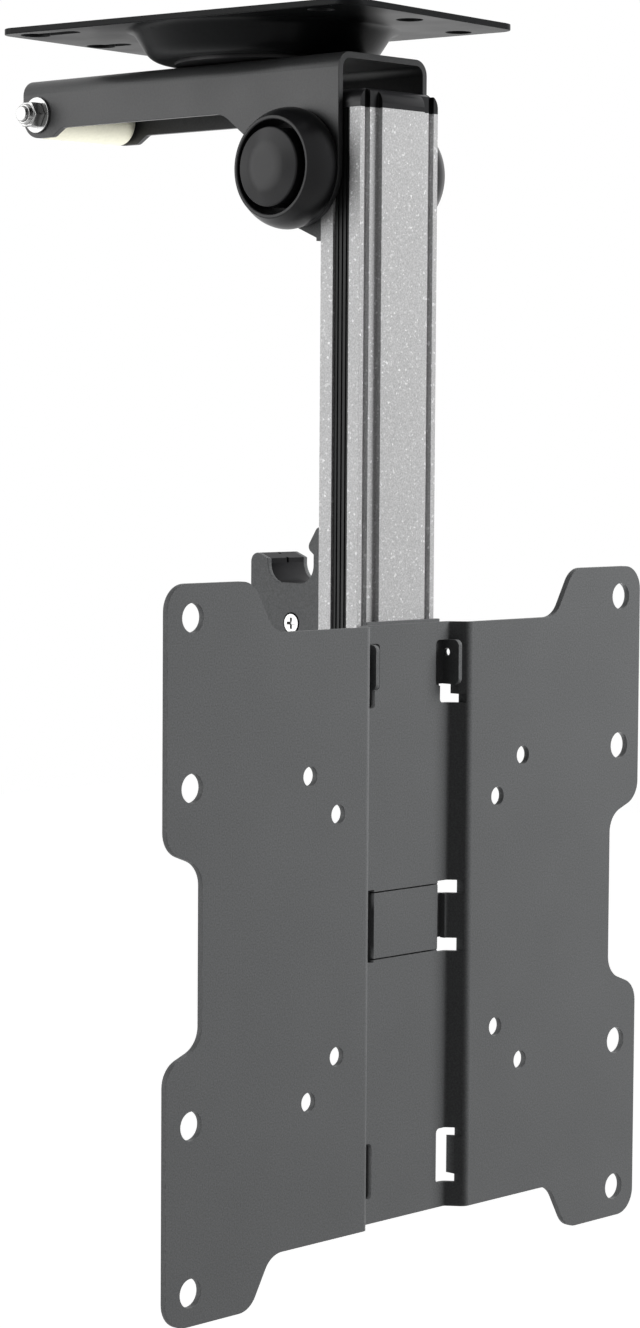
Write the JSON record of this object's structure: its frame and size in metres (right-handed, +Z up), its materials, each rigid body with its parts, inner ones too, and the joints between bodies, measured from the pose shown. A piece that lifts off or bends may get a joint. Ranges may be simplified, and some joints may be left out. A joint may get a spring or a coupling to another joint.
{
  "type": "tv ceiling mount",
  "caption": "Folding ceiling mount for a flat screen: swivelling channel, clamped hinge, hanging arm with latch, and a folded steel screen plate.",
  "frame": {"origin": "centre of the ceiling plate's upper face, on the swivel axis", "axes": "+Z up towards the ceiling, -Y towards the side the screen plate faces, +X to the right when looking along +Y"},
  "size_m": [0.2206, 0.1665, 0.395],
  "materials": {
    "plate_grey": "satin fine-textured",
    "channel_grey": "satin",
    "gloss_black": "gloss",
    "extrusion": "fine sand-blasted",
    "black_plastic": "satin moulded",
    "strip_plastic": "matt, ribbed",
    "latch_black": "satin moulded",
    "zinc": "zinc plated",
    "disc_plastic": "satin",
    "cream_plastic": "smooth moulded",
    "spring_steel": "drawn wire"
  },
  "bodies": {
    "ceiling": {"ceiling_plate": "gloss_black", "swivel_bolt": "zinc", "swivel_disc": "black_plastic", "swivel_washer": "zinc", "swivel_nut": "zinc"},
    "channel": {"channel_bracket": "channel_grey", "hinge_bolt": "zinc", "hinge_nut": "zinc", "hinge_washers": "zinc", "knob_ring_left": "black_plastic", "knob_cap_left": "black_plastic", "knob_ring_right": "black_plastic", "knob_cap_right": "black_plastic", "roller_bolt": "zinc", "roller_nut": "zinc", "roller_washers": "zinc"},
    "roller": {"latch_roller": "cream_plastic"},
    "arm": {"arm_profile": "extrusion", "side_strip_left": "strip_plastic", "side_strip_right": "strip_plastic", "arm_top_cap": "black_plastic", "arm_bottom_cap": "black_plastic", "hinge_bracket": "plate_grey", "hinge_bracket_screws": "zinc", "friction_washers": "disc_plastic", "head_bracket": "plate_grey", "head_bracket_screws": "zinc", "vesa_plate": "plate_grey", "latch_guide": "latch_black", "latch_guide_screws": "zinc", "latch_spring": "spring_steel"},
    "latch": {"latch_cheek_left": "plate_grey", "latch_cheek_right": "plate_grey", "latch_block": "latch_black", "latch_pins": "zinc", "release_bar": "latch_black", "latch_screws": "zinc"}
  },
  "joints": [
    {"name": "swivel", "type": "hinge", "parent": "ceiling", "child": "channel", "pos_m": [0, 0, -0.014], "axis": [0, 0, 1], "continuous": true},
    {"name": "roller_spin", "type": "hinge", "parent": "channel", "child": "roller", "pos_m": [0, 0.0858, -0.025], "axis": [1, 0, 0], "continuous": true},
    {"name": "fold", "type": "hinge", "parent": "channel", "child": "arm", "pos_m": [0, -0.035, -0.0487], "axis": [1, 0, 0], "range_deg": [0, 95.38]},
    {"name": "latch_slide", "type": "slide", "parent": "arm", "child": "latch", "axis": [0, 0, 1], "range_m": [-0.011, 0], "stiffness_N_per_m": 400, "springref_m": 0.005, "deforming": ["latch_spring"]}
  ]
}
